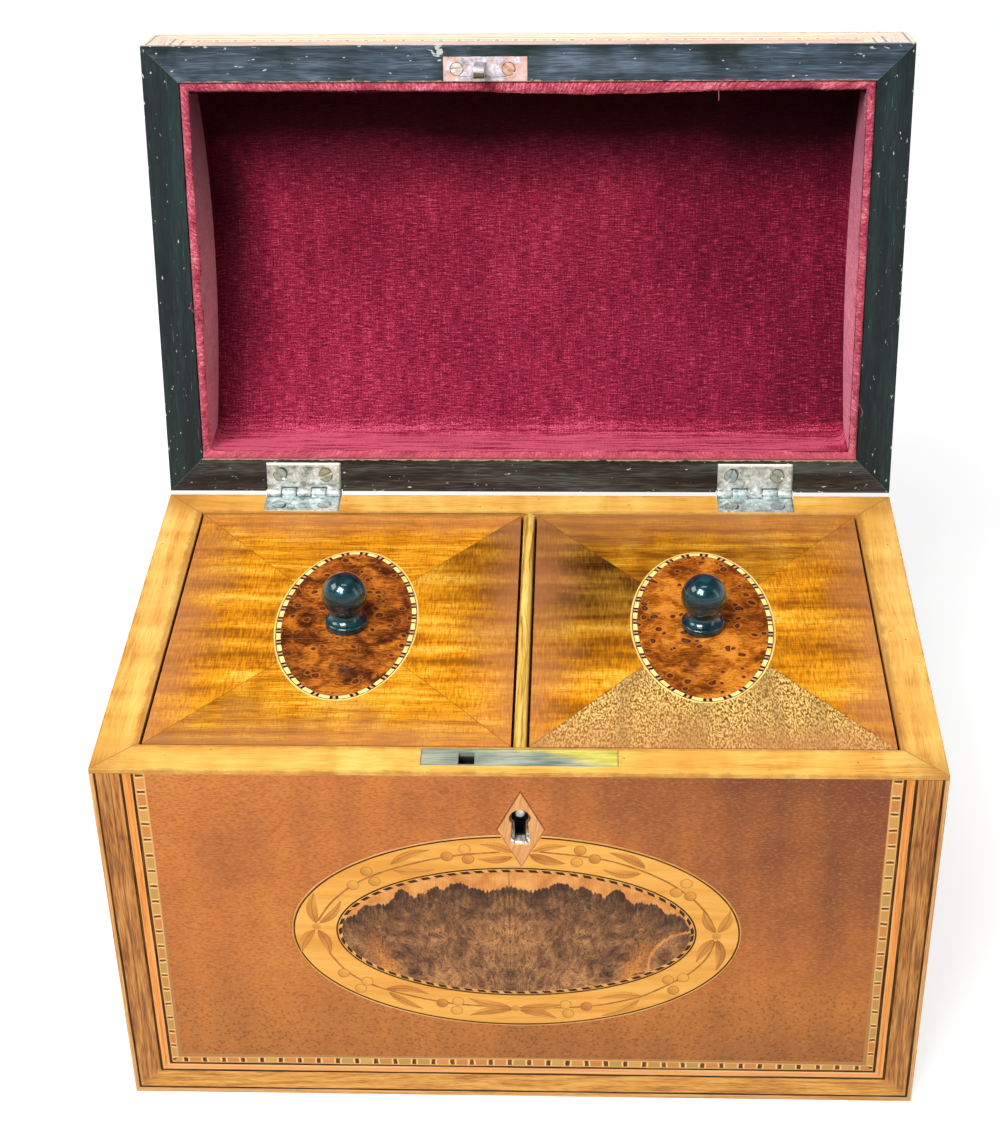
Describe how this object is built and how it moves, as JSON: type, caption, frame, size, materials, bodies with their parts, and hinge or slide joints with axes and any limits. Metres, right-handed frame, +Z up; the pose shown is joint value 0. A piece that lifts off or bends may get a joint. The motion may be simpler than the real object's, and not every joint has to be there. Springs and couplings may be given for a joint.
{
  "type": "tea caddy",
  "caption": "Antique domed tea caddy with a hinged velvet-lined lid, lidded tea compartments with knobs, oval marquetry front and a box lock.",
  "frame": {"origin": "centre of the base's underside", "axes": "+X to the right along the front, +Y from the front to the hinges, +Z up"},
  "size_m": [0.19, 0.1666, 0.2163],
  "materials": {
    "carcass_wood": "old mahogany, oiled",
    "front_veneer_wood": "flecked orange-brown veneer, french polished",
    "garland_satinwood": "satinwood, polished",
    "panel_burr": "dark burr, polished",
    "pale_escutcheon_wood": "pale wood, polished",
    "rim_satinwood": "satinwood, polished",
    "divider_boxwood": "boxwood, polished",
    "liner_wood": "thin cedar boards, bare",
    "tin_sheet": "dull tin sheet",
    "aged_brass": "tarnished brass",
    "lock_steel": "dull steel",
    "tarnished_hinge_metal": "silvery, tarnished",
    "tinned_strike": "worn tinned metal",
    "inner_board_wood": "mahogany, oiled",
    "quartered_veneer": "striped veneer, french polished",
    "burr_yew": "burr yew, french polished",
    "ebonised_wood": "ebonised black, polished",
    "crimson_velvet": "cut velvet"
  },
  "bodies": {
    "case": {"bottom_board": "carcass_wood", "front_wall": "carcass_wood", "back_wall": "carcass_wood", "left_wall": "carcass_wood", "right_wall": "carcass_wood", "front_veneer": "front_veneer_wood", "back_veneer": "front_veneer_wood", "left_veneer": "front_veneer_wood", "right_veneer": "front_veneer_wood", "front_oval_ring": "garland_satinwood", "front_oval_panel": "panel_burr", "escutcheon": "pale_escutcheon_wood", "case_rim_facing": "rim_satinwood", "divider": "divider_boxwood", "left_compartment_lining": "liner_wood", "right_compartment_lining": "liner_wood", "left_tin_box": "tin_sheet", "right_tin_box": "tin_sheet", "lock_selvedge": "aged_brass", "lock_case": "lock_steel", "lock_back_plate": "lock_steel", "lock_key_pin": "lock_steel", "lock_bolt_stump": "lock_steel", "lock_tumbler_pin": "lock_steel", "lock_spring": "lock_steel", "lock_screws": "lock_steel", "left_hinge_lower_leaf": "tarnished_hinge_metal", "right_hinge_lower_leaf": "tarnished_hinge_metal", "left_hinge_pin": "aged_brass", "right_hinge_pin": "aged_brass", "hinge_lower_screws": "tarnished_hinge_metal"},
    "lid": {"lid_front_wall": "carcass_wood", "lid_back_wall": "carcass_wood", "lid_left_wall": "carcass_wood", "lid_right_wall": "carcass_wood", "lid_top_board": "carcass_wood", "lid_top_veneer": "front_veneer_wood", "lid_front_veneer": "front_veneer_wood", "lid_back_veneer": "front_veneer_wood", "lid_left_veneer": "front_veneer_wood", "lid_right_veneer": "front_veneer_wood", "lid_rim_facing": "ebonised_wood", "velvet_lining": "crimson_velvet", "strike_plate": "tinned_strike", "strike_screws": "tarnished_hinge_metal", "left_hinge_upper_leaf": "tarnished_hinge_metal", "right_hinge_upper_leaf": "tarnished_hinge_metal", "hinge_upper_screws": "tarnished_hinge_metal"},
    "left_inner_lid": {"left_inner_lid_board": "inner_board_wood", "left_inner_lid_veneer": "quartered_veneer", "left_inner_lid_oval": "burr_yew", "left_inner_lid_knob": "ebonised_wood"},
    "right_inner_lid": {"right_inner_lid_board": "inner_board_wood", "right_inner_lid_veneer": "quartered_veneer", "right_inner_lid_oval": "burr_yew", "right_inner_lid_knob": "ebonised_wood"},
    "bolt": {"lock_bolt": "lock_steel"},
    "tumbler": {"lock_tumbler": "lock_steel"}
  },
  "joints": [
    {"name": "lid_hinge", "type": "hinge", "parent": "case", "child": "lid", "pos_m": [0, 0.05875, 0.10155], "axis": [-1, 0, 0], "range_deg": [-101.18, 0]},
    {"name": "left_inner_lid_lift", "type": "slide", "parent": "case", "child": "left_inner_lid", "axis": [0, 0, 1], "range_m": [0, 0.12]},
    {"name": "right_inner_lid_lift", "type": "slide", "parent": "case", "child": "right_inner_lid", "axis": [0, 0, 1], "range_m": [0, 0.12]},
    {"name": "lock_bolt_slide", "type": "slide", "parent": "case", "child": "bolt", "axis": [-1, 0, 0], "range_m": [0, 0.0035]},
    {"name": "lock_tumbler_lift", "type": "hinge", "parent": "case", "child": "tumbler", "pos_m": [0.016, -0.0518, 0.09], "axis": [0, 1, 0], "range_deg": [0, 2.5], "stiffness_Nm_per_rad": 0.02, "springref_deg": -17.19, "deforming": ["lock_spring"]}
  ]
}
